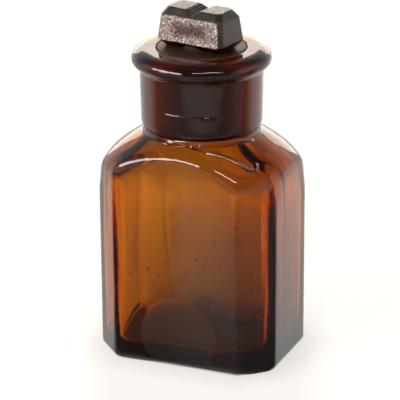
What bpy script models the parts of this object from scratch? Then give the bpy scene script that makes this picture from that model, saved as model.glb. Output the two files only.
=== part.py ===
"""Amber glass bottle, oblong with cut corners, and its ground glass stopper.

The bottle stands on Z = 0 with its broad front panel facing -Y. It is one
blown piece: an upright block with cut corners, drawn in over a turned
shoulder to a round neck with a rolled lip. The stopper is one solid pressed
piece: a tapered plug ground to fit the mouth, under a block head with a V
groove across its top. It lifts straight out along +Z.
"""
import math

import bmesh
import bpy
from mathutils import Matrix, Vector

MM = 0.001

# Body of the bottle
body_width = 62.3 * MM
body_depth = 46.8 * MM
corner_cut = 9.4 * MM
edge_round = 3.5 * MM
heel_round = 3.2 * MM
wall_thickness = 3.2 * MM
base_thickness = 5.0 * MM
inside_edge_round = 5.0 * MM
inside_heel_round = 3.6 * MM
punt_radius = 14.5 * MM
punt_depth = 1.2 * MM

# Shoulder, turned about the neck's axis: a wide bend that ends in a tighter round
shoulder_radius = 34.6 * MM
shoulder_round = 8.0 * MM
shoulder_top_slope = math.radians(27.0)
shoulder_low_slope = math.radians(46.0)

# Neck and lip
neck_foot_height = 76.2 * MM
neck_foot_radius = 19.2 * MM
neck_top_radius = 20.1 * MM
neck_low_radius = 19.8 * MM
neck_foot_round = 4.5 * MM
lip_height = 104.2 * MM
lip_radius = 22.7 * MM
lip_crown_width = 4.5 * MM
lip_crown_rise = 3.5 * MM
lip_under_round = 2.45 * MM
lip_fillet = 1.5 * MM
lip_under_slope = math.radians(35.0)

# Mouth: a taper ground for the plug, over a plain throat
mouth_radius = 14.8 * MM
seat_length = 26.9 * MM
seat_taper_share = 0.05
throat_radius = 13.2 * MM
throat_round = 2.5 * MM

# Stopper plug
joint_gap = 0.3 * MM
plug_length = 26.3 * MM
plug_stand = 0.15 * MM
plug_edge_cut = 0.5 * MM
plug_foot_round = 1.2 * MM

# Stopper head and the low cone that carries it
stopper_turn = math.radians(-10.5)
waist_radius = 6.6 * MM
head_foot_rise = 0.35 * MM
head_length = 25.2 * MM
head_depth = 14.8 * MM
head_offset = -0.4 * MM
head_height = 12.7 * MM
head_draft = 0.9 * MM
head_corner_cut = 1.3 * MM
head_top_cut = 2.0 * MM
head_foot_cut = 1.9 * MM
groove_width = 5.2 * MM
groove_depth = 2.1 * MM

# One overrun serves every cut
overrun = 5.0 * MM
turning_steps = 64
upright_share = 0.95
weld_reach = 0.01 * MM
crease_angle = math.radians(30.0)


def make_collection(name):
    """A new collection in the scene."""
    made = bpy.data.collections.new(name)
    bpy.context.scene.collection.children.link(made)
    return made


def add_object(name, mesh, collection):
    """An object that carries the mesh, linked to the collection."""
    made = bpy.data.objects.new(name, mesh)
    collection.objects.link(made)
    return made


def as_cutter(made):
    """Marks a construction body that only shapes another piece."""
    made.hide_render = True
    made.display_type = "WIRE"
    return made


def arc(centre, radius, start, end, pieces):
    """Points on an arc in the XZ plane, angles in degrees above +X."""
    points = []
    for step in range(pieces + 1):
        angle = math.radians(start + (end - start) * step / pieces)
        points.append((centre[0] + radius * math.cos(angle), centre[1] + radius * math.sin(angle)))
    return points


def turned(name, profile, collection):
    """A solid of revolution: the profile's radius and height, run down its outer side."""
    mesh = bpy.data.meshes.new(name)
    corners = [(radius, 0.0, height) for radius, height in profile]
    runs = [(i, i + 1) for i in range(len(corners) - 1)]
    mesh.from_pydata(corners, runs, [])
    made = add_object(name, mesh, collection)
    screw = made.modifiers.new("Turn", "SCREW")
    screw.axis = "Z"
    screw.angle = math.tau
    screw.steps = turning_steps
    screw.render_steps = turning_steps
    screw.use_merge_vertices = True
    screw.merge_threshold = weld_reach
    screw.use_smooth_shade = True
    return made


def upright_edges(form):
    """Edges of the form that stand upright, or lean a little with its draft."""
    found = []
    for edge in form.edges:
        run = edge.verts[1].co - edge.verts[0].co
        if run.length > 0 and abs(run.z) > upright_share * run.length:
            found.append(edge)
    return found


def level_edges(form, height, slack):
    """Edges of the form that lie at one height."""
    return [e for e in form.edges if all(abs(v.co.z - height) < slack for v in e.verts)]


def bevel(form, edges, width, pieces):
    """Cuts the edges back by width along both faces: flat for one piece, round for more."""
    bmesh.ops.bevel(form, geom=edges, offset=width, offset_type="OFFSET", segments=pieces,
                    profile=0.5, affect="EDGES", clamp_overlap=True)


def fillet_width(radius, turn):
    """How far a fillet of this radius runs back along each face, for an edge that turns so far."""
    return radius * math.tan(turn / 2)


def cut_corner_block(name, width, depth, low, high, cut, upright_round, heel, collection):
    """An upright block with cut corners, rounded upright edges and a rounded heel."""
    form = bmesh.new()
    bmesh.ops.create_cube(form, size=1.0)
    bmesh.ops.scale(form, vec=(width, depth, high - low), verts=form.verts)
    bmesh.ops.translate(form, vec=(0, 0, (high + low) / 2), verts=form.verts)
    bevel(form, upright_edges(form), cut, 1)
    bevel(form, level_edges(form, low, heel / 10), heel, 5)
    bmesh.ops.recalc_face_normals(form, faces=form.faces)
    bevel(form, upright_edges(form), fillet_width(upright_round, math.radians(45)), 3)
    bmesh.ops.recalc_face_normals(form, faces=form.faces)
    mesh = bpy.data.meshes.new(name)
    form.to_mesh(mesh)
    form.free()
    return add_object(name, mesh, collection)


def combine(body, operation, other):
    """A Boolean modifier on body: INTERSECT, DIFFERENCE or UNION with the other."""
    step = body.modifiers.new(operation.title() + " " + other.name, "BOOLEAN")
    step.operation = operation
    step.object = other
    step.solver = "EXACT"


def glass(name, colour, roughness):
    """Plain glass of one colour."""
    made = bpy.data.materials.new(name)
    made.use_nodes = True
    shader = made.node_tree.nodes["Principled BSDF"]
    shader.inputs["Base Color"].default_value = (*colour, 1.0)
    shader.inputs["Roughness"].default_value = roughness
    shader.inputs["Metallic"].default_value = 0.0
    shader.inputs["IOR"].default_value = 1.52
    shader.inputs["Transmission Weight"].default_value = 1.0
    made.diffuse_color = (*colour, 1.0)
    return made


def finish(made, material):
    """Gives the piece its glass and smooth shading with crisp edges."""
    made.data.materials.append(material)
    made.data.shade_smooth()
    made.data.set_sharp_from_angle(angle=crease_angle)


def shoulder_bends():
    """Centre and radius of the shoulder's wide bend, then of the round that ends it upright."""
    touch = shoulder_radius - shoulder_round * (1 - math.sin(shoulder_low_slope))
    run = math.sin(shoulder_low_slope) - math.sin(shoulder_top_slope)
    wide = (touch - neck_foot_radius) / run
    wide_centre = (neck_foot_radius - wide * math.sin(shoulder_top_slope),
                   neck_foot_height - wide * math.cos(shoulder_top_slope))
    step = wide - shoulder_round
    round_centre = (wide_centre[0] + step * math.sin(shoulder_low_slope),
                    wide_centre[1] + step * math.cos(shoulder_low_slope))
    return wide_centre, wide, round_centre


def shoulder_run(start_radius, depth):
    """The shoulder's profile from a start radius out to the side, at a depth under its surface."""
    wide_centre, wide, round_centre = shoulder_bends()
    bend = wide - depth
    start = math.degrees(math.acos((start_radius - wide_centre[0]) / bend))
    turn = 90 - math.degrees(shoulder_low_slope)
    points = arc(wide_centre, bend, start, turn, 6)
    return points + arc(round_centre, shoulder_round - depth, turn, 0, 6)[1:]


def seat_radius(height):
    """Radius of the ground taper in the mouth at this height."""
    return mouth_radius - (lip_height - height) * seat_taper_share


def lip_crown(widest):
    """The lip's flat top curving over and down to its widest, a quarter of an ellipse."""
    quarter = arc((0, 0), 1.0, 90, 0, 8)
    start = lip_radius - lip_crown_width
    return [(start + across * lip_crown_width, widest + up * lip_crown_rise) for across, up in quarter]


def bottle_outside(collection):
    """The bottle's turned outside: lip, neck and shoulder, run on below the base."""
    widest = lip_height - lip_crown_rise
    foot_bend = (neck_low_radius - neck_foot_round, neck_foot_height + neck_foot_round)
    foot_turn = math.degrees(math.acos((neck_foot_radius - foot_bend[0]) / neck_foot_round))
    under = 90 - math.degrees(lip_under_slope)
    lip_foot = arc((lip_radius - lip_under_round, widest), lip_under_round, 0, -under, 4)
    fillet_centre = neck_top_radius + lip_fillet
    fillet_start = fillet_centre - lip_fillet * math.sin(lip_under_slope)
    fillet_top = lip_foot[-1][1] - (lip_foot[-1][0] - fillet_start) * math.tan(lip_under_slope)
    fillet_height = fillet_top - lip_fillet * math.cos(lip_under_slope)
    profile = [(0, lip_height)]
    profile += lip_crown(widest)[:-1]
    profile += lip_foot
    profile += arc((fillet_centre, fillet_height), lip_fillet, 180 - under, 180, 3)
    profile += arc(foot_bend, neck_foot_round, 0, -foot_turn, 3)
    profile += shoulder_run(neck_foot_radius, 0)
    profile += [(shoulder_radius, -overrun), (0, -overrun)]
    return turned("bottle", profile, collection)


def bottle_inside(collection):
    """The hollow's turned form: ground mouth, throat and the inside of the shoulder."""
    top = lip_height + overrun
    seat_foot = lip_height - seat_length
    dome = shoulder_run(throat_radius + throat_round, wall_thickness)
    side = shoulder_radius - wall_thickness
    profile = [(0, top), (seat_radius(top), top), (seat_radius(seat_foot), seat_foot)]
    profile += [(throat_radius, seat_foot - (seat_radius(seat_foot) - throat_radius))]
    profile += arc((throat_radius + throat_round, dome[0][1] + throat_round), throat_round, 180, 240, 3)
    profile += dome
    profile += [(side, base_thickness - overrun), (0, base_thickness - overrun)]
    return as_cutter(turned("hollow_form", profile, collection))


def punt_form(collection):
    """The shallow round hollow under the base, a slice of a large ball."""
    ball = (punt_radius ** 2 + punt_depth ** 2) / (2 * punt_depth)
    reach = math.degrees(math.asin(punt_radius / ball))
    profile = arc((0, punt_depth - ball), ball, 90, 90 - reach, 5)
    profile += [(punt_radius, -overrun), (0, -overrun)]
    return as_cutter(turned("punt_form", profile, collection))


def make_bottle(parts, cutters):
    """The bottle: turned outside kept within the block, less the hollow and the punt."""
    block = as_cutter(cut_corner_block(
        "block_form", body_width, body_depth, 0, lip_height + overrun,
        corner_cut, edge_round, heel_round, cutters))
    inner_cut = corner_cut - wall_thickness * (2 - math.sqrt(2))
    hollow_block = as_cutter(cut_corner_block(
        "hollow_block_form", body_width - 2 * wall_thickness, body_depth - 2 * wall_thickness,
        base_thickness, lip_height + 2 * overrun,
        inner_cut, inside_edge_round, inside_heel_round, cutters))
    hollow = bottle_inside(cutters)
    combine(hollow, "INTERSECT", hollow_block)
    bottle = bottle_outside(parts)
    combine(bottle, "INTERSECT", block)
    combine(bottle, "DIFFERENCE", hollow)
    combine(bottle, "DIFFERENCE", punt_form(cutters))
    finish(bottle, glass("amber_glass", (0.30, 0.10, 0.015), 0.05))
    return bottle


def plug_profile():
    """The plug, with heights measured from the mouth's plane: cone, ground taper and foot."""
    top_radius = seat_radius(lip_height + plug_stand) - joint_gap
    foot_radius = seat_radius(lip_height - plug_length) - joint_gap
    profile = [(0, head_foot_rise + head_foot_cut), (waist_radius, head_foot_rise + head_foot_cut)]
    profile += [(waist_radius, head_foot_rise)]
    profile += [(top_radius - plug_edge_cut, plug_stand), (top_radius, plug_stand - plug_edge_cut)]
    profile += arc((foot_radius - plug_foot_round, plug_foot_round - plug_length), plug_foot_round, 0, -90, 4)
    profile += [(0, -plug_length)]
    return profile


def head_block(collection):
    """The stopper's head: a block with slight draft and every edge cut back."""
    form = bmesh.new()
    bmesh.ops.create_cube(form, size=1.0)
    bmesh.ops.scale(form, vec=(head_length, head_depth, head_height), verts=form.verts)
    for corner in form.verts:
        if corner.co.z > 0:
            corner.co.x -= math.copysign(head_draft, corner.co.x)
            corner.co.y -= math.copysign(head_draft, corner.co.y)
    bmesh.ops.translate(form, vec=(head_offset, 0, head_foot_rise + head_height / 2), verts=form.verts)
    bevel(form, upright_edges(form), head_corner_cut, 1)
    slack = head_height / 10
    bevel(form, level_edges(form, head_foot_rise + head_height, slack), head_top_cut, 1)
    bevel(form, level_edges(form, head_foot_rise, slack), head_foot_cut, 1)
    bmesh.ops.recalc_face_normals(form, faces=form.faces)
    mesh = bpy.data.meshes.new("head_form")
    form.to_mesh(mesh)
    form.free()
    return as_cutter(add_object("head_form", mesh, collection))


def groove_form(collection):
    """A square bar on its corner, laid across the head's top to cut the V groove."""
    form = bmesh.new()
    bmesh.ops.create_cone(form, cap_ends=True, segments=4, radius1=1.0, radius2=1.0, depth=1.0)
    corners = form.verts
    bmesh.ops.rotate(form, cent=Vector(), matrix=Matrix.Rotation(math.pi / 2, 3, "X"), verts=corners)
    bmesh.ops.scale(form, vec=(groove_width / 2, head_depth + 2 * overrun, groove_depth), verts=corners)
    bmesh.ops.translate(form, vec=(head_offset, 0, head_foot_rise + head_height), verts=corners)
    mesh = bpy.data.meshes.new("groove_form")
    form.to_mesh(mesh)
    form.free()
    return as_cutter(add_object("groove_form", mesh, collection))


def make_stopper(parts, cutters):
    """The stopper: turned plug and block head in one, less the groove, seated in the mouth."""
    stopper = turned("stopper", plug_profile(), parts)
    head = head_block(cutters)
    groove = groove_form(cutters)
    combine(stopper, "UNION", head)
    combine(stopper, "DIFFERENCE", groove)
    finish(stopper, glass("ground_amber_glass", (0.13, 0.05, 0.02), 0.35))
    for piece in (head, groove):
        piece.parent = stopper
    stopper.location = (0, 0, lip_height)
    stopper.rotation_euler = (0, 0, stopper_turn)
    return stopper


for old in list(bpy.data.objects):
    bpy.data.objects.remove(old, do_unlink=True)
bottle_parts = make_collection("stoppered_bottle")
bottle_cutters = make_collection("cutters")
make_bottle(bottle_parts, bottle_cutters)
make_stopper(bottle_parts, bottle_cutters)
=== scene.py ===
"""Amber glass bottle with cut corners and its ground glass stopper, dressed for the camera."""
import math

import bmesh
import bpy
import numpy as np
from mathutils import Matrix, Vector


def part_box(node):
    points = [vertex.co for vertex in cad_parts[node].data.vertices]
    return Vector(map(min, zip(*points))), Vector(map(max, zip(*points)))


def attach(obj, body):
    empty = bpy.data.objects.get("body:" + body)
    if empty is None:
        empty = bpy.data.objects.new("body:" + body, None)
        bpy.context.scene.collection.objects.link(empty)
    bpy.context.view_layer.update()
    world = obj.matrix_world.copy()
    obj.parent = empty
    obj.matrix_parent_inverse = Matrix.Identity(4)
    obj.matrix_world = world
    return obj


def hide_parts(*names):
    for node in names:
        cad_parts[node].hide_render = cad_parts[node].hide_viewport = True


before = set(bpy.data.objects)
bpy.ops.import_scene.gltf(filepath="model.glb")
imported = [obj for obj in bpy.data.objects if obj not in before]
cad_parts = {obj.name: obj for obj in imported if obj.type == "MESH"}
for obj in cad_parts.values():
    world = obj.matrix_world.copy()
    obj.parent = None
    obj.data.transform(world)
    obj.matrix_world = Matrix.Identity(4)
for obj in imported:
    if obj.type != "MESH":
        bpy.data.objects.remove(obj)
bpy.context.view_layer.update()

# The bottle: one piece of amber soda glass, blown into a panelled mould. The neck is tooled and its
# lip rolled out by hand, so the walls are a little uneven, and fine seeds are caught in them.
MM = 0.001
bottle_low, bottle_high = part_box("bottle")
half_width = (bottle_high[0] - bottle_low[0]) / 2
half_depth = (bottle_high[1] - bottle_low[1]) / 2
lip_height = bottle_high[2]
corner_cut = 9.4 * MM
corner_blend = 1.3 * MM
heel_round = 2.7 * MM
heel_slump = 3.4 * MM
slump_turns = (-138, -58, -52, -34)
punt_radius = 14.5 * MM
punt_depth = 0.4 * MM
shoulder_radius = 34.6 * MM
shoulder_round = 8.0 * MM
shoulder_top_slope = math.radians(27.0)
shoulder_low_slope = math.radians(46.0)
shoulder_steepness = 1 / 0.35
arch_blend = 3.2 * MM
neck_foot_height = 76.2 * MM
neck_foot_radius = 19.2 * MM
neck_foot_round = 4.5 * MM
neck_low_radius = 19.8 * MM
neck_top_radius = 20.1 * MM
seam_height = 86.4 * MM
seam_width = 0.35 * MM
seam_rise = 0.3 * MM
seam_glints = [(264, 9), (297, 10)]
seam_waves = [(0.25, 3, 1), (0.12, 8, 0)]
seam_rows_reach = 1.1 * MM
seam_rows_edge = 1.2 * MM
lip_radius = 22.7 * MM
lip_crown_width = 4.5 * MM
lip_crown_rise = 3.5 * MM
lip_under_round = 2.45 * MM
lip_fillet = 1.5 * MM
lip_under_slope = math.radians(35.0)
wall_thickness = 3.2 * MM
neck_root_thickness = 3.4 * MM
arch_thickness = 4.3 * MM
root_reach = 15 * MM
arch_reach = 31 * MM
run_down = 0.7 * MM
run_down_height = 64 * MM
back_gain = 0.5 * MM
back_oval = 1.4
right_gain = 1.5 * MM
inside_waves = [(0.16 * MM, 3, 0.0, 15 * MM), (0.10 * MM, 7, 1.3, -21 * MM), (0.07 * MM, 11, 0.4, 9 * MM)]
right_streaks = (0.2 * MM, 24, 0.9, 40 * MM)
back_band = (8 * MM, 20 * MM)
right_band = (0.78, 0.97)
right_middle = math.radians(-20)
streak_band = (0.9, 0.97)
settling_band = (8 * MM, 26 * MM)
base_thickness = 3.2 * MM
inside_heel_round = 5.0 * MM
inside_heel_tight = 3.0 * MM
inside_heel_band = (0.2, 0.75)
inside_bowl = 2.2 * MM
bowl_band = (12 * MM, 45 * MM)
inside_corner_blend = 2.0 * MM
soft_corners = [(218, 3.3 * MM, 0.75, 0.97), (338, 2.6 * MM, 0.9, 0.98)]
inside_arch_blend = 2.2 * MM
shoulder_lumps = [(-18.0 * MM, -12.0 * MM, 3.3 * MM, 2.0 * MM), (19.5 * MM, -3.5 * MM, 4.8 * MM, 3.0 * MM)]
lump_band = (58 * MM, 66 * MM)
mouth_radius = 14.8 * MM
mouth_edge_round = 0.35 * MM
seat_length = 26.9 * MM
seat_taper_share = 0.05
throat_radius = 13.2 * MM
throat_round = 2.5 * MM
disc_radius = 13.3 * MM
disc_place = (0.9 * MM, 11.6 * MM)
disc_depth = 0.16 * MM
disc_edge = 0.5 * MM
skin_margin = 1.5 * MM
front_margin = 4 * MM
heel_margin = 3.0 * MM
grid_gap = 0.002 * MM


def soft_min(first, second, blend):
    """The smaller of two lengths, with the corner between them rounded over the blend length."""
    overlap = np.maximum(blend - np.abs(first - second), 0.0)
    return np.minimum(first, second) - overlap ** 2 / (4 * blend)


def smooth_step(value, start, end):
    """Rises from 0 at the start to 1 at the end, level at both: 3 t squared less 2 t cubed."""
    share = np.clip((value - start) / (end - start), 0.0, 1.0)
    return share * share * (3 - 2 * share)


def plan_reach(turn, inset, blend):
    """Distance from the axis to the eight-sided plan, set in by an inset, at a turn about the axis.

    Each side lies at its own distance along its normal, and the normals are 45 degrees apart. A
    side's reach is that distance over the cosine of the angle to its normal, or a metre where the
    cosine is under 0.2. The reach of the plan is the smallest, softly taken.
    """
    diagonal = (half_width + half_depth - corner_cut) / math.sqrt(2)
    reaches = []
    for side, distance in enumerate((half_width, diagonal, half_depth, diagonal) * 2):
        lean = np.cos(turn - math.radians(45 * side))
        reaches.append(np.where(lean > 0.2, (distance - inset) / np.maximum(lean, 0.2), 1.0))
    first, second = np.sort(np.array(np.broadcast_arrays(*reaches)), axis=0)[:2]
    return soft_min(first, second, blend)


def arc(centre, radius, start, end, count):
    """Radius and height of points on an arc about a centre, between two angles in degrees above level."""
    angle = np.radians(np.linspace(start, end, count))
    return centre[0] + radius * np.cos(angle), centre[1] + radius * np.sin(angle)


def shoulder_bends():
    """Centre and radius of the shoulder's wide bend, then the centre of the round that ends it."""
    touch = shoulder_radius - shoulder_round * (1 - math.sin(shoulder_low_slope))
    run = math.sin(shoulder_low_slope) - math.sin(shoulder_top_slope)
    wide = (touch - neck_foot_radius) / run
    wide_centre = (neck_foot_radius - wide * math.sin(shoulder_top_slope),
                   neck_foot_height - wide * math.cos(shoulder_top_slope))
    step = wide - shoulder_round
    round_centre = (wide_centre[0] + step * math.sin(shoulder_low_slope),
                    wide_centre[1] + step * math.cos(shoulder_low_slope))
    return wide_centre, wide, round_centre


def dome_height(radius, depth):
    """Height of the turned shoulder at a radius, at a depth under its surface.

    It follows the wide bend, then the tighter round, and past the round's widest point it falls
    away steeply, so that it meets the panels below that point.
    """
    wide_centre, wide, round_centre = shoulder_bends()
    bend = wide - depth
    tight = shoulder_round - depth
    change = wide_centre[0] + bend * math.sin(shoulder_low_slope)
    side = round_centre[0] + tight
    upper = wide_centre[1] + np.sqrt(np.maximum(bend ** 2 - (radius - wide_centre[0]) ** 2, 0))
    lower = round_centre[1] + np.sqrt(np.maximum(tight ** 2 - (radius - round_centre[0]) ** 2, 0))
    steep = round_centre[1] - (radius - side) * shoulder_steepness
    return np.where(radius < change, upper, np.where(radius < side, lower, steep))


def root_depth(radius):
    """The shoulder's thickness at a radius: thin at the panels' arches, thick at the neck's root."""
    out = smooth_step(radius, root_reach, arch_reach)
    return neck_root_thickness + (arch_thickness - neck_root_thickness) * out


def column_turns():
    """Turns of the grid's columns about the axis, closest together at the plan's eight corners."""
    low = math.atan2(half_depth - corner_cut, half_width)
    high = math.atan2(half_depth, half_width - corner_cut)
    corners = [-low, low, high, math.pi - high, math.pi - low, math.pi + low, math.pi + high,
               2 * math.pi - high, 2 * math.pi - low]
    counts = [26, 16, 40, 16, 26, 16, 62, 16]
    turns = []
    for start, end, count in zip(corners, corners[1:], counts):
        share = (1 - np.cos(np.pi * np.arange(count) / count)) / 2
        turns.append(start + (end - start) * share)
    return np.concatenate(turns)


def heel_size(turn):
    """The heel's rounding at a turn: crisp all round but at the right front, where it slumped softer.

    The slump rises between the first two slump turns and fades between the last two.
    """
    signed_turn = (turn + math.pi) % (2 * math.pi) - math.pi
    start, full, fade, end = np.radians(slump_turns)
    slumped = smooth_step(signed_turn, start, full) * (1 - smooth_step(signed_turn, fade, end))
    return heel_round + heel_slump * slumped


def inside_softness(turn):
    """The blend of the hollow's upright corners at a turn: softer towards each of the soft corners.

    The share of the softer blend rises with the cosine of the turn from that corner's middle.
    """
    blend = inside_corner_blend + 0 * turn
    for corner_turn, softer, edge, core in soft_corners:
        share = smooth_step(np.cos(turn - math.radians(corner_turn)), edge, core)
        blend = blend + (softer - inside_corner_blend) * share
    return blend


def wave(turn, height, size, count, phase, pitch):
    """One wave of the blown inside: a sine, so many to a turn, that twists as it rises."""
    return size * np.sin(count * turn + phase + height / pitch)


def thicker_wall(turn, height):
    """How much thicker the glass is than its thinnest, at a turn about the axis and a height.

    The gather ran down as it was blown, so the wall thickens with the square of the way down, and
    to the back and the right. Waves of the blown inside and streaks on the right lie over that.
    Each rises over its band: of the way back, of the cosine to its middle, or of the height.
    """
    down = np.clip(1 - height / run_down_height, 0, 1)
    back = smooth_step(np.sin(turn) * half_depth * back_oval, *back_band)
    right = smooth_step(np.cos(turn - right_middle), *right_band)
    waves = sum(wave(turn, height, *each) for each in inside_waves)
    waves = waves + wave(turn, height, *right_streaks) * smooth_step(np.cos(turn), *streak_band)
    settled = smooth_step(height, *settling_band)
    return run_down * down ** 2 + back_gain * back + right_gain * right + waves * settled


def panelled_rows(turn, inset, depth, floor, heel, corner, arch, top_radius, runs):
    """Rows of one skin of the body, from its heel up over the wall and the arch to the neck.

    Every column runs up the plan's wall, over a soft arch where the wall meets the turned shoulder,
    and in along the shoulder. Returns the radius and height of each row and column.
    """
    wall = plan_reach(turn, inset, corner)
    uneven = 1.0 if inset else 0.0
    bend = np.radians(np.linspace(90, 0, 14))[:, None]
    heel_radius = plan_reach(turn, inset + heel * (1 - np.cos(bend)), corner)
    heel_height = floor + heel * (1 - np.sin(bend)) + 0 * turn
    over = np.linspace(arch, -arch, 15)[:, None]
    arch_radius = soft_min(wall + over, wall + 0 * over, arch)
    arch_height = dome_height(wall + over, depth(wall + over))
    climb = np.linspace(0, 1, runs)[1:-1, None]
    wall_height = floor + heel + climb * (arch_height[0] - floor - heel)
    heel_radius = heel_radius - uneven * thicker_wall(turn, heel_height)
    wall_radius = wall - uneven * thicker_wall(turn, wall_height)
    arch_radius = arch_radius - uneven * thicker_wall(turn, arch_height)
    draw_in = np.linspace(0, 1, 26)[1:, None]
    dome_radius = arch_radius[-1] + draw_in * (top_radius - arch_radius[-1])
    radius = np.concatenate([heel_radius, wall_radius, arch_radius, dome_radius])
    dome = dome_height(dome_radius, depth(dome_radius))
    dome = dome + (1 - draw_in) * (arch_height[-1] - dome_height(arch_radius[-1], depth(arch_radius[-1])))
    height = np.concatenate([heel_height, wall_height, arch_height, dome])
    return radius, height


def turned_rows(pieces, turn):
    """Rows that are the same all round: runs of radius and height, one after another."""
    radius = np.concatenate([np.atleast_1d(piece[0]) for piece in pieces])[:, None]
    height = np.concatenate([np.atleast_1d(piece[1]) for piece in pieces])[:, None]
    return radius + 0 * turn, height + 0 * turn


def closed_grid(x, y, z):
    """Points and faces of a grid whose columns close on each other and whose end rows are poles."""
    rows, columns = x.shape
    points = np.stack([x, y, z], axis=-1).reshape(-1, 3)
    low = np.arange(rows - 1)[:, None] * columns + np.arange(columns)
    right = np.arange(rows - 1)[:, None] * columns + (np.arange(columns) + 1) % columns
    quads = np.stack([low, right, right + columns, low + columns], axis=-1).reshape(-1, 4)
    return points, quads


def make_mesh(name, points, quads, finish):
    """A mesh object of these points and four-sided faces, with its doubles merged at the poles."""
    mesh = bpy.data.meshes.new(name)
    mesh.vertices.add(len(points))
    mesh.vertices.foreach_set("co", points.astype(np.float32).ravel())
    mesh.loops.add(quads.size)
    mesh.loops.foreach_set("vertex_index", quads.astype(np.int32).ravel())
    mesh.polygons.add(len(quads))
    mesh.polygons.foreach_set("loop_start", np.arange(0, quads.size, 4, dtype=np.int32))
    mesh.polygons.foreach_set("material_index", finish.astype(np.int32))
    mesh.update()
    mesh.validate()
    form = bmesh.new()
    form.from_mesh(mesh)
    bmesh.ops.remove_doubles(form, verts=form.verts, dist=grid_gap)
    form.to_mesh(mesh)
    form.free()
    mesh.shade_smooth()
    made = bpy.data.objects.new(name, mesh)
    bpy.context.scene.collection.objects.link(made)
    return made


# The outside, from the middle of the hollow under the base, out and up over the heel to the neck's foot.
turn = column_turns()
ball = (punt_radius ** 2 + punt_depth ** 2) / (2 * punt_depth)
punt_run = np.linspace(0, punt_radius, 14)[:, None]
ring_share = np.linspace(0, 1, 8)[1:-1, None]
heel = heel_size(turn)
stand_reach = plan_reach(turn, heel, corner_blend)
base_radius = np.concatenate([punt_run + 0 * turn, punt_radius + ring_share * (stand_reach - punt_radius)])
base_height = np.concatenate([punt_depth - ball + np.sqrt(ball ** 2 - punt_run ** 2) + 0 * turn,
                              0 * ring_share + 0 * turn])
skin_radius, skin_height = panelled_rows(turn, 0.0, np.zeros_like, 0.0, heel, corner_blend, arch_blend,
                                         neck_foot_radius, 84)

# The neck, the lip rolled out over it, and inside it the ground seat and the throat.
widest = lip_height - lip_crown_rise
lip_centre = (lip_radius - lip_under_round, widest)
under = 90 - math.degrees(lip_under_slope)
under_point = arc(lip_centre, lip_under_round, -under, -under, 1)
fillet_centre_radius = neck_top_radius + lip_fillet
fillet_start = fillet_centre_radius - lip_fillet * math.sin(lip_under_slope)
fillet_top = under_point[1][0] - (under_point[0][0] - fillet_start) * math.tan(lip_under_slope)
fillet_centre = (fillet_centre_radius, fillet_top - lip_fillet * math.cos(lip_under_slope))
foot_bend = (neck_low_radius - neck_foot_round, neck_foot_height + neck_foot_round)
foot_turn = math.degrees(math.acos((neck_foot_radius - foot_bend[0]) / neck_foot_round))
foot_start = foot_bend[1] - neck_foot_round * math.sin(math.radians(foot_turn))
neck_heights = np.concatenate([
    np.linspace(foot_bend[1], seam_height - seam_rows_edge, 7)[1:],
    np.linspace(seam_height - seam_rows_reach, seam_height + seam_rows_reach, 23),
    np.linspace(seam_height + seam_rows_edge, fillet_centre[1], 10)[:-1]])
neck_share = (neck_heights - foot_bend[1]) / (fillet_centre[1] - foot_bend[1])
seat_foot = lip_height - seat_length
seat_foot_radius = mouth_radius - seat_length * seat_taper_share
crown_turn = np.radians(np.linspace(0, 90, 25)[1:])
crown_start = lip_radius - lip_crown_width
mouth_edge = (mouth_radius + mouth_edge_round, lip_height - mouth_edge_round)
neck_radius, neck_height = turned_rows([
    (np.full(3, neck_foot_radius), np.linspace(neck_foot_height, foot_start, 4)[1:]),
    [run[1:] for run in arc(foot_bend, neck_foot_round, -foot_turn, 0, 9)],
    (neck_low_radius + (neck_top_radius - neck_low_radius) * neck_share, neck_heights),
    arc(fillet_centre, lip_fillet, 180, 180 - under, 7),
    arc(lip_centre, lip_under_round, -under, 0, 11),
    (crown_start + lip_crown_width * np.cos(crown_turn), widest + lip_crown_rise * np.sin(crown_turn)),
    (np.linspace(crown_start, mouth_edge[0], 10)[1:-1], np.full(8, lip_height)),
    arc(mouth_edge, mouth_edge_round, 90, 180, 5),
    (np.linspace(mouth_radius, seat_foot_radius, 24)[1:], np.linspace(mouth_edge[1], seat_foot, 24)[1:]),
    (throat_radius, seat_foot - (seat_foot_radius - throat_radius)),
], turn)
seam_line = seam_height + sum(size * np.sin(count * turn + phase) for size, count, phase in seam_waves) * MM
seam_share = sum(np.exp(-((np.degrees(turn) - at) / spread) ** 2) for at, spread in seam_glints)
seam = seam_rise * np.exp(-((neck_height - seam_line) / seam_width) ** 2) * seam_share
neck_radius = neck_radius + seam * (neck_radius > neck_foot_radius)
throat_bend_radius = throat_radius + throat_round
throat_foot = float(dome_height(np.array(throat_bend_radius), neck_root_thickness)) + throat_round
throat_radii, throat_heights = turned_rows([
    (np.full(5, throat_radius), np.linspace(seat_foot - 0.5 * MM, throat_foot, 6)[1:]),
    [run[1:] for run in arc((throat_bend_radius, throat_foot), throat_round, 180, 240, 6)],
], turn)

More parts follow.
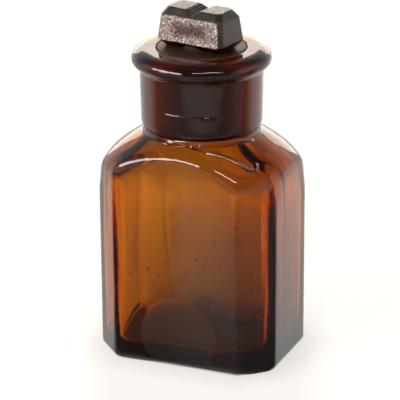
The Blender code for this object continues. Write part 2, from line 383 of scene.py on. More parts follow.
# The hollow, down from the throat over the lumps in the shoulder to the bowl of the inner floor.
inside_blend = inside_softness(turn)
inside_heel = inside_heel_round - inside_heel_tight * smooth_step(-np.cos(turn), *inside_heel_band)
hollow_radius, hollow_height = panelled_rows(turn, wall_thickness, root_depth, base_thickness, inside_heel,
                                             inside_blend, inside_arch_blend, throat_bend_radius, 44)
inner_reach = plan_reach(turn, wall_thickness, inside_blend)
floor_radius = np.linspace(1, 0, 22)[1:, None] * hollow_radius[0]
floor_height = base_thickness + inside_bowl * (floor_radius / inner_reach) ** 2
bowl_share = np.clip(hollow_radius / inner_reach, 0, 1) ** 2
above_bowl = smooth_step(hollow_height, *bowl_band)
hollow_height = hollow_height + inside_bowl * bowl_share * (1 - above_bowl)
hollow_x, hollow_y = hollow_radius * np.cos(turn), hollow_radius * np.sin(turn)
for lump_x, lump_y, lump_width, lump_depth in shoulder_lumps:
    off_lump = np.hypot(hollow_x - lump_x, hollow_y - lump_y) / lump_width
    in_shoulder = smooth_step(hollow_height, *lump_band)
    hollow_height = hollow_height - lump_depth * np.exp(-off_lump ** 2) * in_shoulder

# The whole skin as one grid, with the pressed disc low on the front sunk into it.
radius = np.concatenate([base_radius, skin_radius, neck_radius, throat_radii, hollow_radius[::-1],
                         floor_radius])
height = np.concatenate([base_height, skin_height, neck_height, throat_heights, hollow_height[::-1],
                         floor_height])
x, y = radius * np.cos(turn), radius * np.sin(turn)
off_disc = np.hypot(x - disc_place[0], height - disc_place[1]) - disc_radius
outer_skin = radius > plan_reach(turn, skin_margin, corner_blend)
on_front = (y < front_margin - half_depth) & (height > heel_margin) & outer_skin
y = y + np.where(on_front, disc_depth * (1 - smooth_step(off_disc, -disc_edge, disc_edge)), 0)
points, quads = closed_grid(x, y, height)
middle = points[quads].mean(1)
in_mouth = np.hypot(middle[:, 0], middle[:, 1]) < mouth_radius
on_seat = in_mouth & (middle[:, 2] > seat_foot) & (middle[:, 2] < lip_height)


def seeds(places, sizes, stretches):
    """Round voids in the glass: a ball's rows and columns, carried to every place at once.

    Each stands upright, stretched along the height, with its faces turned to its own middle.
    """
    rows = np.linspace(-math.pi / 2, math.pi / 2, 7)[:, None]
    columns = np.linspace(0, 2 * math.pi, 9)[:-1]
    shape = (np.cos(rows) * np.cos(columns), np.cos(rows) * np.sin(columns), np.sin(rows) + 0 * columns)
    ball_points, ball_quads = closed_grid(*shape)
    scale = np.stack([sizes, sizes, sizes * stretches], -1)
    many = places[:, None, :] + ball_points[None] * scale[:, None, :]
    steps = np.arange(len(places))[:, None, None] * len(ball_points)
    return many.reshape(-1, 3), (ball_quads[None, :, ::-1] + steps).reshape(-1, 4)


# Fine seeds, the bubbles left in the melt: some at places in the front panel, the rest anywhere.
front_seeds = np.array([(13.7, 46.2), (7.0, 39.5), (10.1, 37.9), (15.4, 38.2), (-16.4, 31.3), (-9.9, 33.8),
                        (-6.1, 32.3), (12.6, 23.6), (4.7, 14.9), (20.2, 13.9), (20.9, 52.3)]) * MM
wild_count = 46
chance = np.random.default_rng(7)
wild_turn = chance.uniform(0, 2 * math.pi, wild_count)
wild_height = chance.uniform(8, 60, wild_count) * MM
wild_radius = plan_reach(wild_turn, wall_thickness * chance.uniform(0.35, 0.65, wild_count), corner_blend)
wild = np.stack([wild_radius * np.cos(wild_turn), wild_radius * np.sin(wild_turn), wild_height], -1)
front_depth = np.full(len(front_seeds), wall_thickness / 2 - half_depth)
front = np.stack([front_seeds[:, 0], front_depth, front_seeds[:, 1]], -1)
seed_places = np.concatenate([front, wild])
front_sizes = chance.uniform(0.28, 0.42, len(front))
seed_sizes = np.concatenate([front_sizes, chance.uniform(0.12, 0.3, wild_count)]) * MM
seed_points, seed_quads = seeds(seed_places, seed_sizes, chance.uniform(1.0, 1.9, len(seed_places)))
finish = np.concatenate([on_seat, np.zeros(len(seed_quads), dtype=bool)])
bottle = make_mesh("blown_bottle", np.concatenate([points, seed_points]),
                   np.concatenate([quads, seed_quads + len(points)]), finish)


def linear(code):
    """A colour given as an sRGB hex code, in linear light."""
    shares = [int(code[i:i + 2], 16) / 255 for i in (1, 3, 5)]
    return [s / 12.92 if s <= 0.04045 else ((s + 0.055) / 1.055) ** 2.4 for s in shares] + [1.0]


def add_node(material, kind, settings=(), links=()):
    """Adds a node, gives its properties or sockets these settings, and links its sockets to others.

    A node given as the source of a link stands for the first of its outputs that is in use.
    """
    tree = material.node_tree
    node = tree.nodes.new("ShaderNode" + kind)
    for name, value in dict(settings).items():
        if isinstance(name, int) or name in node.inputs:
            node.inputs[name].default_value = value
        else:
            setattr(node, name, value)
    for name, source in dict(links).items():
        outputs = [output for output in getattr(source, "outputs", [source]) if output.enabled]
        tree.links.new(outputs[0], node.inputs[name])
    return node


# Settings that many nodes share.
times = {"operation": "MULTIPLY"}
largest = {"operation": "MAXIMUM"}
smooth = {"interpolation_type": "SMOOTHSTEP"}

# The amber of both pieces: light loses its blue first, then its green, on its way through the glass.
amber_colour = "#F2D626"
amber_density = 800.0
glass_bend = 1.52


def glass_material(name, tint, roughness, transmission):
    """Glass with the amber's body: light loses (1 - colour) times density for each metre inside."""
    made = bpy.data.materials.new(name)
    made.use_nodes = True
    made.node_tree.nodes.clear()
    shader = add_node(made, "BsdfPrincipled", {
        "Base Color": linear(tint), "Roughness": roughness, "IOR": glass_bend,
        "Transmission Weight": transmission})
    body = add_node(made, "VolumeAbsorption", {"Color": linear(amber_colour), "Density": amber_density})
    add_node(made, "OutputMaterial", {}, {"Surface": shader, "Volume": body})
    return made, shader


# Fire polished amber glass: clear, near yellow where thin and near black where thick. The pressed disc
# low on the front is satin, with fine level lines, and a folded crease crosses the right shoulder.
# Heights on the skin are shares of its relief, and the crease's runs are points on it in millimetres.
# The distance to the crease starts at a metre, and each run lowers it.
polish = 0.02
disc_satin = 0.32
disc_fade = 0.4 * MM
face_depth = 0.8 * MM
skin_relief = 0.06 * MM
skin_wave = 5.0 * MM
line_pitch = 0.9 * MM
line_relief = 0.009 * MM
crease_relief = 0.54 * MM
crease_reach = 0.9 * MM
crease_runs = [[(4.6, -18.6, 76.3), (8.9, -17.0, 76.9), (12.9, -14.2, 77.2), (16.6, -9.7, 77.0),
                (19.1, -3.9, 76.1)],
               [(4.6, -18.6, 76.3), (9.5, -18.4, 75.4), (16.3, -17.0, 73.7), (22.9, -16.3, 70.4),
                (24.6, -14.4, 70.0), (24.2, -12.6, 71.1)],
               [(-3.9, -18.8, 76.9), (-0.8, -19.2, 77.3), (2.2, -19.1, 77.5)]]
amber, amber_shader = glass_material("fire_polished_amber_glass", "#FFFFFF", polish, 1.0)
place = add_node(amber, "TexCoord").outputs["Object"]
axes = add_node(amber, "SeparateXYZ", {}, {0: place})
upright = add_node(amber, "VectorMath", {"operation": "MULTIPLY", 1: (1, 0, 1)}, {0: place})
from_disc = add_node(amber, "VectorMath", {
    "operation": "DISTANCE", 1: (disc_place[0], 0, disc_place[1])}, {0: upright})
in_disc = add_node(amber, "MapRange", {
    "From Min": disc_radius - disc_fade, "From Max": disc_radius + disc_fade, "To Min": 1.0, "To Max": 0.0},
    {0: from_disc})
front_face = add_node(amber, "Math", {"operation": "LESS_THAN", 1: face_depth - half_depth},
                      {0: axes.outputs["Y"]})
disc = add_node(amber, "Math", times, {0: in_disc, 1: front_face})
skin_roughness = add_node(amber, "MapRange", {"To Min": polish, "To Max": disc_satin}, {0: disc})
line_turn = add_node(amber, "Math", {"operation": "MULTIPLY", 1: 2 * math.pi / line_pitch},
                     {0: axes.outputs["Z"]})
lines = add_node(amber, "Math", {"operation": "SINE"}, {0: line_turn})
disc_lines = add_node(amber, "Math", times, {0: lines, 1: disc})
to_crease = add_node(amber, "Math", {0: 1.0, 1: 0.0})
for run in crease_runs:
    for start, end in zip(run, run[1:]):
        start, way = Vector(start) * MM, (Vector(end) - Vector(start)) * MM
        from_start = add_node(amber, "VectorMath", {"operation": "SUBTRACT", 1: start}, {0: place})
        progress = add_node(amber, "VectorMath", {
            "operation": "DOT_PRODUCT", 1: way / way.length_squared}, {0: from_start})
        share = add_node(amber, "Math", {"use_clamp": True, 1: 0.0}, {0: progress})
        nearest = add_node(amber, "VectorMath", {"operation": "SCALE", 0: way}, {"Scale": share})
        off_run = add_node(amber, "VectorMath", {"operation": "DISTANCE"}, {0: from_start, 1: nearest})
        to_crease = add_node(amber, "Math", {"operation": "MINIMUM"}, {0: to_crease, 1: off_run})
crease = add_node(amber, "MapRange", {
    "From Max": crease_reach, "To Min": crease_relief / skin_relief, "To Max": 0.0}, {0: to_crease})
marks = add_node(amber, "Math", {"operation": "MULTIPLY_ADD", 1: line_relief / skin_relief},
                 {0: disc_lines, 2: crease})
skin_grain = add_node(amber, "TexNoise", {"Scale": 1 / skin_wave, "Detail": 2.0, "Roughness": 0.5},
                      {"Vector": place})
skin_heights = add_node(amber, "Math", {"operation": "ADD"}, {0: marks, 1: skin_grain})
uneven_skin = add_node(amber, "Bump", {"Strength": 1.0, "Distance": skin_relief}, {"Height": skin_heights})
amber.node_tree.links.new(skin_roughness.outputs["Result"], amber_shader.inputs["Roughness"])
amber.node_tree.links.new(uneven_skin.outputs["Normal"], amber_shader.inputs["Normal"])

# The ground seat in the mouth: the same glass under a matt, slightly grey brown skin.
ground_seat = glass_material("ground_amber_seat", "#8A6A55", 0.45, 0.9)[0]
bottle.data.materials.append(amber)
bottle.data.materials.append(ground_seat)
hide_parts("bottle")
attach(bottle, "bottle")

# The stopper: one solid piece of the same glass. Its block head is pressed with a V groove across the
# top and ground on every face, and the plug below is ground to its seat.
plug_gap = 0.3 * MM
plug_length = 26.3 * MM
plug_stand = 0.15 * MM
plug_edge_cut = 0.5 * MM
plug_foot_round = 1.2 * MM
stopper_turn = math.radians(-10.5)
waist_radius = 6.6 * MM
head_foot = lip_height + 0.35 * MM
head_length = 25.2 * MM
head_depth = 14.8 * MM
head_offset = -0.4 * MM
head_top = head_foot + 12.7 * MM
head_draft = 0.9 * MM
head_corner_cut = 1.4 * MM
head_top_cut = 2.0 * MM
head_top_drop = 2.5 * MM
head_end_cut = 1.5 * MM
head_foot_cut = 1.9 * MM
head_foot_rise = 2.3 * MM
head_edge_round = 0.45 * MM
head_foot_flat = 3.0 * MM
head_top_flat = 1.0 * MM
end_cut_reach = 4 * MM
groove_width = 5.2 * MM
groove_depth = 2.1 * MM
groove_blend = 0.5 * MM
groove_reach = 5.0 * MM
dish_depth = 0.5 * MM
broad_keep = 4.0 * MM
pad_middle = 7.0 * MM
groove_tip = 0.15 * MM
front_skin = 1.2 * MM
frosted_lean = -0.88
frosted_drop = 0.3 * MM
foot_cut_lean = -0.2


def rounded_run(corners, rounding, per_bend, per_run):
    """Points along a broken line whose inner corners are rounded by parabolas.

    Each corner gives way to a curve that starts and ends at the rounding length from it, or halfway
    along a shorter side. The counts are the points of every bend, and of each straight run in turn.
    """
    corners = [np.array(corner, dtype=float) for corner in corners]
    bend = np.linspace(0, 1, per_bend + 1)[1:, None]
    pieces = [corners[0][None]]
    for before, corner, after, count in zip(corners, corners[1:], corners[2:], per_run):
        last = pieces[-1][-1]
        start = corner + (before - corner) * min(rounding / np.linalg.norm(before - corner), 0.5)
        end = corner + (after - corner) * min(rounding / np.linalg.norm(after - corner), 0.5)
        pieces.append(last + np.linspace(0, 1, count + 1)[1:, None] * (start - last))
        pieces.append((1 - bend) ** 2 * start + 2 * bend * (1 - bend) * corner + bend ** 2 * end)
    last = pieces[-1][-1]
    pieces.append(last + np.linspace(0, 1, per_run[-1] + 1)[1:, None] * (corners[-1] - last))
    return np.concatenate(pieces)


def quarter(length, depth):
    """One quarter of the head's plan loop, from the middle of the +X end round to the middle of +Y.

    It runs up the end, over a corner cut with two rounded bends, and back along the broad side.
    """
    cut = head_corner_cut
    corners = [(length, 0), (length, depth - cut), (length - cut, depth), (broad_keep, depth)]
    central = np.stack([np.linspace(broad_keep, 0, 26)[1:], np.full(25, depth)], -1)
    return np.concatenate([rounded_run(corners, head_edge_round, 5, (12, 4, 14)), central])


side_rows = rounded_run([(head_foot_cut + head_foot_flat, head_foot), (head_foot_cut, head_foot),
                         (0.0, head_foot + head_foot_rise),
                         (head_draft, head_top - head_top_drop),
                         (head_draft + head_top_cut, head_top),
                         (head_draft + head_top_cut + head_top_flat, head_top)],
                        head_edge_round, 5, (14,) * 5)
inset, level = side_rows[:, 0], side_rows[:, 1]
end_share = np.where(level > head_top - end_cut_reach, head_end_cut / head_top_cut, 1)
past_draft = np.maximum(inset - head_draft, 0) * end_share
half_length = head_length / 2 - np.minimum(inset, head_draft) - past_draft
half_breadth = head_depth / 2 - inset
upper = np.array([quarter(length, breadth) for length, breadth in zip(half_length, half_breadth)])
upper = np.concatenate([upper, upper[:, -2::-1] * np.array([-1, 1])], axis=1)
ring = np.concatenate([upper, (upper[:, ::-1] * np.array([1, -1]))[:, 1:-1]], axis=1)
low_inward = np.linspace(0, 1, 8)[:-1, None, None]
pad_inward = np.linspace(1, 0, 16)[1:, None, None]
middle_line = np.stack([np.clip(ring[-1, :, 0], -pad_middle, pad_middle), 0 * ring[-1, :, 1]], -1)
plan = np.concatenate([ring[0] * low_inward, ring, middle_line + (ring[-1] - middle_line) * pad_inward])
levels = np.concatenate([np.full(7, head_foot), level, np.full(15, head_top)])[:, None] + 0 * plan[..., 0]
across = np.sqrt(plan[..., 0] ** 2 + groove_tip ** 2)
groove = head_top - groove_depth * (1 - across / (groove_width / 2))
head_z = np.where(levels > head_foot + groove_reach, soft_min(levels, groove, groove_blend), levels)
front = plan[..., 1] < front_skin - head_depth / 2
rise = (levels - head_foot - head_foot_rise) / (head_top - head_foot - head_foot_rise - head_top_drop)
off_centre = plan[..., 0] / (head_length / 2 - head_corner_cut)
dish = np.clip(1 - off_centre ** 4, 0, 1) * np.clip(1 - (2 * rise - 1) ** 4, 0, 1)
head_y = plan[..., 1] + np.where(front, dish_depth * dish, 0)
points, quads = closed_grid(plan[..., 0] + head_offset, head_y, head_z)
corners = points[quads]
middle = corners.mean(1)
normal = np.cross(corners[:, 1] - corners[:, 0], corners[:, 3] - corners[:, 0])
normal = normal / np.maximum(np.linalg.norm(normal, axis=1), 1e-12)[:, None]
above_cut = middle[:, 2] > head_foot + head_foot_rise - frosted_drop
frosted = (normal[:, 1] < frosted_lean) & above_cut
foot_cut = normal[:, 2] < foot_cut_lean
head_finish = np.where(frosted, 1, np.where(foot_cut, 3, 0))


def turned_about_neck(points):
    """The points turned about the neck's axis to the way the stopper stands in the photograph."""
    c, s = math.cos(stopper_turn), math.sin(stopper_turn)
    return points @ np.array([[c, s, 0], [-s, c, 0], [0, 0, 1]])


head = make_mesh("stopper_head", turned_about_neck(points), quads, head_finish)
plug_top_radius = mouth_radius + plug_stand * seat_taper_share - plug_gap
plug_foot_radius = mouth_radius - plug_length * seat_taper_share - plug_gap
plug_turn = np.linspace(0, 2 * math.pi, 129)[:-1]
plug_foot = lip_height - plug_length
plug_rim = lip_height + plug_stand
rim_share = np.linspace(0, 1, 4)[1:]
plug_radius, plug_height = turned_rows([
    (np.linspace(0, plug_foot_radius - plug_foot_round, 8)[:-1], np.full(7, plug_foot)),
    arc((plug_foot_radius - plug_foot_round, plug_foot + plug_foot_round), plug_foot_round, -90, 0, 8),
    (np.linspace(plug_foot_radius, plug_top_radius, 24)[1:],
     np.linspace(plug_foot + plug_foot_round, plug_rim - plug_edge_cut, 24)[1:]),
    (plug_top_radius - plug_edge_cut * rim_share, plug_rim - plug_edge_cut * (1 - rim_share) ** 2),
    (np.linspace(plug_top_radius - plug_edge_cut, waist_radius, 12)[1:],
     np.linspace(plug_rim, head_foot, 12)[1:]),
    (np.full(4, waist_radius), np.linspace(head_foot, head_foot + head_foot_cut, 5)[1:]),
    (np.linspace(waist_radius, 0, 6)[1:], np.full(5, head_foot + head_foot_cut)),
], plug_turn)
points, quads = closed_grid(plug_radius * np.cos(plug_turn), plug_radius * np.sin(plug_turn), plug_height)
plug = make_mesh("stopper_plug", points, quads, np.full(len(quads), 2))

# Satin ground glass: solid dark amber under a fine matt skin that gleams grey along the light. Where
# the grain is finer than a pixel it is drawn as coarse as it needs to show.
grind_size = 0.45 * MM
grind_depth = 0.09 * MM
satin, satin_shader = glass_material("satin_ground_amber_glass", "#E9DCCB", 0.25, 0.975)
satin_place = add_node(satin, "TexCoord").outputs["Object"]
grind = add_node(satin, "TexNoise", {"Scale": 1 / grind_size, "Detail": 3.0, "Roughness": 0.75},
                 {"Vector": satin_place})
ground_skin = add_node(satin, "Bump", {"Strength": 1.0, "Distance": grind_depth}, {"Height": grind})
satin.node_tree.links.new(ground_skin.outputs["Normal"], satin_shader.inputs["Normal"])

# The head's front panel, left as pressed: dished and pebbled, so that it sparkles, with a pale frost
# that is paler towards the panel's edges and thinner in its middle, which is red brown.
pebble_size = 0.8 * MM
pebble_depth = 0.42 * MM
frost_size = 0.5 * MM
frost_edge_length = (3.0 * MM, 9.5 * MM)
frost_edge_height = (0.4 * MM, 3.2 * MM)
panel_height = head_foot + (head_foot_rise + head_top - head_foot - head_top_drop) / 2
panel_way = (math.cos(stopper_turn), math.sin(stopper_turn), 0)
panel_middle = (head_offset * panel_way[0], head_offset * panel_way[1], panel_height)
pebble, pebble_shader = glass_material("pebbled_frosted_glass", "#F6E6E0", 0.2, 1.0)
panel_place = add_node(pebble, "TexCoord").outputs["Object"]
pebbles = add_node(pebble, "TexVoronoi", {
    "feature": "SMOOTH_F1", "Scale": 1 / pebble_size, "Smoothness": 0.5}, {"Vector": panel_place})
grit = add_node(pebble, "TexNoise", {"Scale": 1 / grind_size, "Detail": 4.0, "Roughness": 0.7},
                {"Vector": panel_place})
lumps = add_node(pebble, "Math", {"operation": "ADD"}, {0: pebbles.outputs["Distance"], 1: grit})
pebbled_skin = add_node(pebble, "Bump", {"Strength": 1.0, "Distance": pebble_depth}, {"Height": lumps})
from_middle = add_node(pebble, "VectorMath", {"operation": "SUBTRACT", 1: panel_middle}, {0: panel_place})
near_edge = add_node(pebble, "Math", {0: 0.0, 1: 0.0})
for way, (starts, full) in ((panel_way, frost_edge_length), ((0, 0, 1), frost_edge_height)):
    offset = add_node(pebble, "VectorMath", {"operation": "DOT_PRODUCT", 1: way}, {0: from_middle})
    off_middle = add_node(pebble, "Math", {"operation": "ABSOLUTE"}, {0: offset})
    rim = add_node(pebble, "MapRange", {**smooth, "From Min": starts, "From Max": full}, {0: off_middle})
    near_edge = add_node(pebble, "Math", largest, {0: near_edge, 1: rim})
patchy = add_node(pebble, "TexNoise", {"Scale": 1 / frost_size, "Detail": 4.0, "Roughness": 0.9},
                  {"Vector": panel_place})
patch = add_node(pebble, "MapRange", {**smooth, "From Min": 0.42, "From Max": 0.62}, {0: patchy})
# Paler towards the panel's edges, thinner and red brown in its middle.
kept_frost = add_node(pebble, "MapRange", {"To Min": 0.25, "To Max": 1.0}, {0: near_edge})
frost = add_node(pebble, "Math", times, {0: kept_frost, 1: patch})
clear_share = add_node(pebble, "MapRange", {"To Min": 0.85, "To Max": 0.0}, {0: frost})
frost_colour = add_node(pebble, "Mix", {
    "data_type": "RGBA", 6: linear("#8C4632"), 7: linear("#FFF4EE")}, {0: frost})
pebble.node_tree.links.new(pebbled_skin.outputs["Normal"], pebble_shader.inputs["Normal"])
pebble.node_tree.links.new(clear_share.outputs["Result"], pebble_shader.inputs["Transmission Weight"])
pebble.node_tree.links.new(frost_colour.outputs[2], pebble_shader.inputs["Base Color"])

# The plug is ground matt to fit its seat, and the cuts under the head are polished, so look darkest.
ground_plug = glass_material("ground_amber_plug", "#B46A40", 0.45, 0.95)[0]
polished = glass_material("polished_amber_cut", "#FFFFFF", 0.08, 1.0)[0]
for piece in (head, plug):
    for material in (satin, pebble, ground_plug, polished):
        piece.data.materials.append(material)
join = head.modifiers.new("One piece of glass", "BOOLEAN")
join.operation = "UNION"
join.object = plug
join.solver = "EXACT"
whole = bpy.data.meshes.new_from_object(head.evaluated_get(bpy.context.evaluated_depsgraph_get()))
whole.name = "ground_stopper"
stopper = bpy.data.objects.new("ground_stopper", whole)
bpy.context.scene.collection.objects.link(stopper)
bpy.data.objects.remove(head, do_unlink=True)
bpy.data.objects.remove(plug, do_unlink=True)
stopper.data.shade_smooth()
stopper.data.set_sharp_from_angle(angle=math.radians(35))
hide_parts("stopper")
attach(stopper, "stopper")

# The floor: a pale, matt sweep of paper that the bottle stands on, not a part of it. It glows a
# little, so that its shadows stay faint, and its glow is painted dim where the bottle keeps the light
# from it: a painted contact shadow, painted shade, and painted reflections where the glass mirrors it.
floor_size = 4.0
floor_drop = 0.2 * MM
open_level = 1.08
shade_fall = 0.88
shade_behind_fall = 0.75
veil_floor = 0.12
veil_rise = 0.56
white_floor = 0.95
white_rise = 0.16
wedge_shift = 22 * MM
wedge_growth = 0.45
wedge_inset = 4 * MM
paper_strength = 0.86
paper_grey = (0.19, 0.185, 0.178, 1)
camera_turn = 0.402
turn_cos, turn_sin = math.cos(camera_turn), math.sin(camera_turn)
side_way = math.radians(22)
side_cos, side_sin = math.cos(side_way), math.sin(side_way)
floor_mesh = bpy.data.meshes.new("floor")
floor_corners = [(x * floor_size, y * floor_size, 0) for x, y in ((-1, -1), (1, -1), (1, 1), (-1, 1))]
floor_mesh.from_pydata(floor_corners, [], [(0, 1, 2, 3)])
floor = bpy.data.objects.new("floor", floor_mesh)
bpy.context.scene.collection.objects.link(floor)
floor.location.z = -floor_drop
paper = bpy.data.materials.new("matt_white_paper")
paper.use_nodes = True
paper.node_tree.nodes.clear()
floor_place = add_node(paper, "TexCoord").outputs["Object"]
floor_axes = add_node(paper, "SeparateXYZ", {}, {0: floor_place})
along = {}
for name, way in (("back", (-turn_sin, turn_cos, 0)), ("right", (turn_cos, turn_sin, 0)),
                  ("aslant", (turn_cos, -turn_sin, 0)), ("beside", (-side_sin, side_cos, 0))):
    along[name] = add_node(paper, "VectorMath", {"operation": "DOT_PRODUCT", 1: way}, {0: floor_place})

# How far a place on the floor lies past the outline of the bottle: past its panels or past its cuts.
# The heel is round, so the painted contact shadow lies 3.4 mm further in, but not where it is
# seen through glass.
heel_inset = 3.4 * MM
diagonal_share = 1 / math.sqrt(2)
all_sides = add_node(paper, "VectorMath", {"operation": "ABSOLUTE"}, {0: floor_place})
off_corner = add_node(paper, "VectorMath", {"operation": "SUBTRACT", 1: (half_width, half_depth, 0)},
                      {0: all_sides})
off_axes = add_node(paper, "SeparateXYZ", {}, {0: off_corner})
past_panels = add_node(paper, "Math", largest, {0: off_axes.outputs["X"], 1: off_axes.outputs["Y"]})
across_cut = add_node(paper, "VectorMath", {
    "operation": "DOT_PRODUCT", 1: (diagonal_share, diagonal_share, 0)}, {0: off_corner})
past_cut = add_node(paper, "Math", {1: corner_cut * diagonal_share}, {0: across_cut})
past = add_node(paper, "Math", largest, {0: past_panels, 1: past_cut})
paper_rays = add_node(paper, "LightPath")
past_heel = add_node(paper, "Math", {1: heel_inset}, {0: past})
shadow_edge = add_node(paper, "Math", {"operation": "MULTIPLY_ADD", 1: -heel_inset},
                       {0: paper_rays.outputs["Is Transmission Ray"], 2: past_heel})
right_size = add_node(paper, "Math", {"operation": "ABSOLUTE"}, {0: along["right"]})
far_off = add_node(paper, "VectorMath", {"operation": "LENGTH"}, {0: floor_place})

# Soft steps of the glow, which paint its shadow, shade and reflections. Each has a name, the distance
# it follows, the stretch of it in millimetres, and the levels before and after.
depth_mm = half_depth / MM
step = {}
for name, follows, start, end, before, after in [
        ("contact_core", shadow_edge, -1.4, 1.0, 0.0, 0.86),
        ("contact_haze", shadow_edge, 0, 16, 0.0, 0.14),
        ("shade_near", along["back"], 80, 205, 1.0, 0.0),
        ("shade_middle", along["right"], -26, 2, 0.5, 1.0),
        ("shade_right_end", along["right"], 34, 60, 1.0, 0.0),
        ("shade_left_end", along["right"], -60, -30, 0.0, 1.0),
        ("far_dim", along["back"], 142, 178, 1.0, 0.38),
        ("behind_back", floor_axes.outputs["Y"], depth_mm - 12, depth_mm, 0.0, 1.0),
        ("behind_close", past, 0, 42, 1.0, 0.0),
        ("behind_right", along["right"], -24, -8, 0.0, 1.0),
        ("veil_right", along["aslant"], 5, 11, 0.0, 1.0),
        ("veil_near", along["back"], -180, -110, 0.0, 1.0),
        ("veil_end", floor_axes.outputs["X"], 24, 36, 1.0, 0.35),
        ("far_ahead", along["back"], -240, -200, 0.85, 0.0),
        ("foot_gloss", along["back"], -75, -28, 1.0, 0.3),
        ("side_gloss", along["right"], -100, 100, 1.0, 1.2),
        ("far_share", far_off, 150, 210, 0.0, 1.0),
        ("right_half", floor_axes.outputs["X"], -6, 6, 0.0, 1.0),
        ("to_the_side", right_size, 28, 48, 0.0, 1.0),
        ("to_the_back", along["back"], -20, 60, 0.0, 1.0)]:
    step[name] = add_node(paper, "MapRange", {
        **smooth, "From Min": start * MM, "From Max": end * MM,
        "To Min": before, "To Max": after}, {0: follows})
product = {}
for name, first, *others in (("shade", "shade_near", "shade_middle", "shade_right_end", "shade_left_end"),
                             ("behind", "behind_back", "behind_close", "behind_right"),
                             ("veil", "veil_right", "veil_near", "veil_end")):
    product[name] = step[first]
    for other in others:
        product[name] = add_node(paper, "Math", times, {0: product[name], 1: step[other]})

# Seen through the glass: a level floor with the bottle's own shade painted on it, and painted dim far back.
shaded = add_node(paper, "Math", {"operation": "MULTIPLY_ADD", 1: -shade_fall, 2: open_level},
                  {0: product["shade"]})
# Painted shade just behind the bottle, where the floor is seen through the glass.
shade_behind_level = add_node(paper, "Math", {"operation": "MULTIPLY_ADD", 1: -shade_behind_fall, 2: 1.0},
                      {0: product["behind"]})
seen_through = step["far_dim"]
for factor in (shaded, shade_behind_level):
    seen_through = add_node(paper, "Math", times, {0: seen_through, 1: factor})

# Mirrored in the front: a painted reflection of dim paper with a paler veil on it. Mirrored in the side: a
# painted reflection of pale paper. The side's share grows with the slant from the bottle's right corner
# when near, and in a widening wedge when far.
veiled = add_node(paper, "Math", largest, {0: product["veil"], 1: step["far_ahead"]})
front_level = add_node(paper, "Math", {"operation": "MULTIPLY_ADD", 1: veil_rise, 2: veil_floor}, {0: veiled})
front_gloss = add_node(paper, "Math", times, {0: step["foot_gloss"], 1: front_level})
from_corner = add_node(paper, "VectorMath", {
    "operation": "SUBTRACT", 1: (half_width, corner_cut - half_depth, 0)}, {0: floor_place})
corner_rise = add_node(paper, "VectorMath", {
    "operation": "DOT_PRODUCT", 1: (-side_sin, side_cos, 0)}, {0: from_corner})
corner_far = add_node(paper, "VectorMath", {"operation": "LENGTH"}, {0: from_corner})
corner_far = add_node(paper, "Math", {1: 0.1 * MM}, {0: corner_far})
slant = add_node(paper, "Math", {"operation": "DIVIDE"}, {0: corner_rise, 1: corner_far})
near_side = add_node(paper, "MapRange", {**smooth, "From Min": 0.36, "From Max": 0.64}, {0: slant})
wedge_start = add_node(paper, "Math", {1: wedge_shift}, {0: along["beside"]})
wedge_width = add_node(paper, "Math", {"operation": "MULTIPLY_ADD", 1: wedge_growth, 2: -wedge_inset},
                       {0: far_off})
wedge = add_node(paper, "Math", {"operation": "DIVIDE"}, {0: wedge_start, 1: wedge_width})
wide_side = add_node(paper, "MapRange", smooth, {0: wedge})
far_side = add_node(paper, "Math", times, {0: wide_side, 1: step["far_share"]})
right_side = add_node(paper, "Math", largest, {0: near_side, 1: far_side})
side_share = add_node(paper, "Mix", {}, {0: step["right_half"], 2: wide_side, 3: right_side})
mirrored = add_node(paper, "Mix", {}, {0: side_share, 2: front_gloss, 3: step["side_gloss"]})

# Seen directly: near white close to the bottle, a painted soft shade, and white to the sides and the back.
# Then the painted contact shadow, over all.
outer = add_node(paper, "Math", largest, {0: step["to_the_side"], 1: step["to_the_back"]})
seen = add_node(paper, "Math", {"operation": "MULTIPLY_ADD", 1: white_rise, 2: white_floor}, {0: outer})
unlit = add_node(paper, "Mix", {}, {0: paper_rays.outputs["Is Glossy Ray"], 2: seen, 3: mirrored})
floor_level = add_node(paper, "Mix", {},
                       {0: paper_rays.outputs["Is Transmission Ray"], 2: unlit, 3: seen_through})
# Painted contact shadow: the glow falls away round the bottle's foot.
contact = add_node(paper, "Math", {"operation": "ADD"}, {0: step["contact_core"], 1: step["contact_haze"]})
floor_glow = add_node(paper, "Math", times, {0: floor_level, 1: contact})
paper_glow = add_node(paper, "Math", {"operation": "MULTIPLY", 1: paper_strength}, {0: floor_glow})
sheet = add_node(paper, "BsdfDiffuse", {"Color": paper_grey})
# The floor's glow: painted light, which carries the painted shadow, shade and reflections.
painted_floor_glow = add_node(paper, "Emission", {"Color": linear("#FFFBF6")}, {"Strength": paper_glow})
both = add_node(paper, "AddShader", {}, {0: sheet, 1: painted_floor_glow})
add_node(paper, "OutputMaterial", {}, {"Surface": both})
floor.data.materials.append(paper)

# The light: two long soft boxes in front of the bottle, whose images are the pale glints on its skin,
# and a low bright wall behind, which rims the lip. None of them shows through the glass.


def soft_box(name, turn_degrees, rise_degrees, distance, width, depth, radiance, colour):
    """A flat rectangular lamp aimed at the bottle, at a turn from +X and a rise above level.

    Its energy is its radiance times pi times its area.
    """
    lamp = bpy.data.lights.new(name, "AREA")
    lamp.shape = "RECTANGLE"
    lamp.size = width
    lamp.size_y = depth
    lamp.energy = radiance * math.pi * width * depth
    lamp.color = linear(colour)[:3]
    box = bpy.data.objects.new(name, lamp)
    bpy.context.scene.collection.objects.link(box)
    around, rise = math.radians(turn_degrees), math.radians(rise_degrees)
    way = Vector((math.cos(rise) * math.cos(around), math.cos(rise) * math.sin(around), math.sin(rise)))
    box.location = Vector((0, 0, lip_height / 2)) + way * distance
    box.rotation_euler = way.to_track_quat("Z", "Y").to_euler()
    box.visible_transmission = False


soft_box("left_soft_box", -128, 25, 1.0, 0.95, 0.25, 12.0, "#FFFDFA")
soft_box("right_soft_box", -57, 46, 1.0, 0.75, 0.1, 12.0, "#FFFDFA")
soft_box("back_wall_light", 111, 11, 1.6, 1.6, 0.62, 2.4, "#FFE8D0")

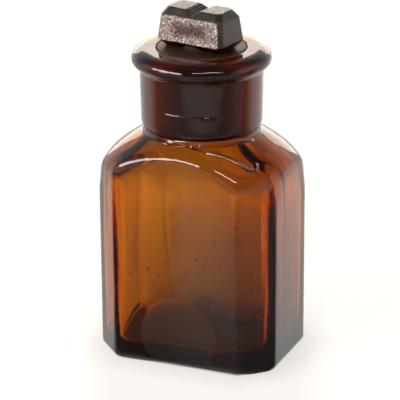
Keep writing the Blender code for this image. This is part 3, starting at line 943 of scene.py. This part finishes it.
# The surround: white where it is seen directly, pale at the back and the sides and dim in front where
# it lights or is mirrored, and falling off quickly above level where it is seen through the glass.
back_tilt = -0.9
surround = bpy.data.worlds.new("white_surround")
bpy.context.scene.world = surround
surround.use_nodes = True
surround.node_tree.nodes.clear()
surround_rays = add_node(surround, "LightPath")
looking = add_node(surround, "TexCoord").outputs["Generated"]
looking_axes = add_node(surround, "SeparateXYZ", {}, {0: looking})
through_glass = add_node(surround, "MapRange", {"From Max": 0.25, "To Min": 0.8, "To Max": 0.15},
                         {0: looking_axes.outputs["Z"]})
backwards = add_node(surround, "VectorMath", {
    "operation": "DOT_PRODUCT", 1: (-turn_sin, turn_cos, back_tilt)}, {0: looking})
back_level = add_node(surround, "MapRange", {"From Min": -0.15, "From Max": 0.8, "To Min": 0.12},
                      {0: backwards})
sideways = add_node(surround, "VectorMath", {
    "operation": "DOT_PRODUCT", 1: (turn_cos, turn_sin, 0)}, {0: looking})
to_side = add_node(surround, "Math", {"operation": "ABSOLUTE"}, {0: sideways})
side_level = add_node(surround, "MapRange", {"From Min": 0.65, "From Max": 0.95}, {0: to_side})
around_level = add_node(surround, "Math", largest, {0: side_level, 1: back_level})
unseen = add_node(surround, "Mix", {}, {
    0: surround_rays.outputs["Is Transmission Ray"], 2: around_level, 3: through_glass})
sky_level = add_node(surround, "Mix", {3: 1.0}, {0: surround_rays.outputs["Is Camera Ray"], 2: unseen})
sky = add_node(surround, "Background", {"Color": (1, 1, 1, 1)}, {"Strength": sky_level})
add_node(surround, "OutputWorld", {}, {"Surface": sky})

# The camera stands where the photograph's stood: 0.79 m off, 21 degrees up, 23 degrees to the right.
# Its lens and aim were fitted to the outline, in pixels of 0.33 mm at the bottle.
pixel = 0.33 * MM
camera_rise = 0.3612
camera_roll = 0.0064
focal_pixels = 2398.0
frame_pixels = 400
aim_height = 150 * pixel
aim_column, aim_row = 202.3986, 205.1681
lens = bpy.data.cameras.new("camera")
lens.sensor_width = 36
lens.lens = lens.sensor_width * focal_pixels / frame_pixels
lens.clip_start = 0.01
camera = bpy.data.objects.new("camera", lens)
bpy.context.scene.collection.objects.link(camera)
across_way = Vector((turn_cos, turn_sin, 0))
level_share = math.cos(camera_rise)
back_way = Vector((turn_sin * level_share, -turn_cos * level_share, math.sin(camera_rise)))
up_way = back_way.cross(across_way)
centre = frame_pixels / 2
aside_step = across_way * (centre - aim_column) * pixel
up_step = up_way * (aim_row - centre) * pixel
rolled_across = across_way * math.cos(camera_roll) - up_way * math.sin(camera_roll)
rolled_up = across_way * math.sin(camera_roll) + up_way * math.cos(camera_roll)
stand = Matrix((rolled_across, rolled_up, back_way)).transposed().to_4x4()
stand.translation = Vector((0, 0, aim_height)) + aside_step + up_step + back_way * focal_pixels * pixel
camera.matrix_world = stand
bpy.context.scene.camera = camera
bpy.context.scene.view_settings.view_transform = "Standard"
